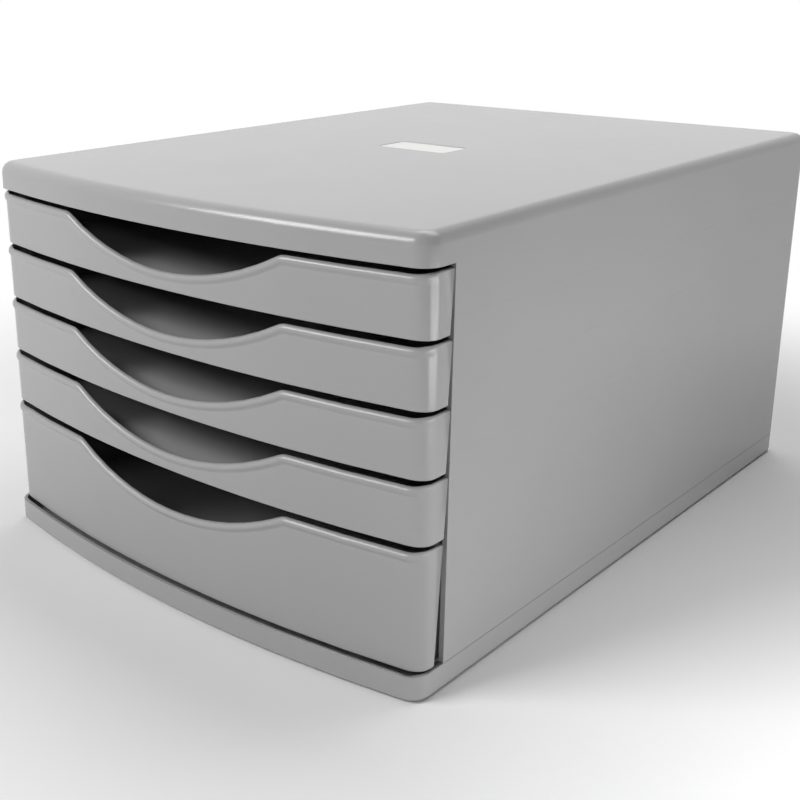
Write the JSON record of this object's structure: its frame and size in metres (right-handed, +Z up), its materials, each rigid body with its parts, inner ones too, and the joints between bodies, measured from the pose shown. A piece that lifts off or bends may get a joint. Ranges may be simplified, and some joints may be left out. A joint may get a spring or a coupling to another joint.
{
  "type": "desktop file drawer unit",
  "caption": "Desktop drawer unit with a rounded moulded casing, shallow drawers above a deep drawer, and bowed fronts with a smile-shaped finger dip.",
  "frame": {"origin": "middle of the rectangle that the unit covers, at the height of the surface that its feet stand on", "axes": "+X to the right seen from the front, +Y from the drawer fronts to the back, +Z up"},
  "size_m": [0.288, 0.4054, 0.2087],
  "materials": {
    "casing_plastic": "satin moulded, mid grey",
    "drawer_plastic": "satin moulded, mid grey",
    "foot_rubber": "matt black"
  },
  "bodies": {
    "casing": {"casing_shell": "casing_plastic", "base_plate": "casing_plastic", "foot_front_left": "foot_rubber", "foot_front_right": "foot_rubber", "foot_back_left": "foot_rubber", "foot_back_right": "foot_rubber"},
    "drawer_1": {"drawer_1": "drawer_plastic"},
    "drawer_2": {"drawer_2": "drawer_plastic"},
    "drawer_3": {"drawer_3": "drawer_plastic"},
    "drawer_4": {"drawer_4": "drawer_plastic"},
    "drawer_5": {"drawer_5": "drawer_plastic"}
  },
  "joints": [
    {"name": "drawer_1_slide", "type": "slide", "parent": "casing", "child": "drawer_1", "axis": [0, -1, 0], "range_m": [0, 0.29]},
    {"name": "drawer_2_slide", "type": "slide", "parent": "casing", "child": "drawer_2", "axis": [0, -1, 0], "range_m": [0, 0.29]},
    {"name": "drawer_3_slide", "type": "slide", "parent": "casing", "child": "drawer_3", "axis": [0, -1, 0], "range_m": [0, 0.29]},
    {"name": "drawer_4_slide", "type": "slide", "parent": "casing", "child": "drawer_4", "axis": [0, -1, 0], "range_m": [0, 0.29]},
    {"name": "drawer_5_slide", "type": "slide", "parent": "casing", "child": "drawer_5", "axis": [0, -1, 0], "range_m": [0, 0.29]}
  ]
}
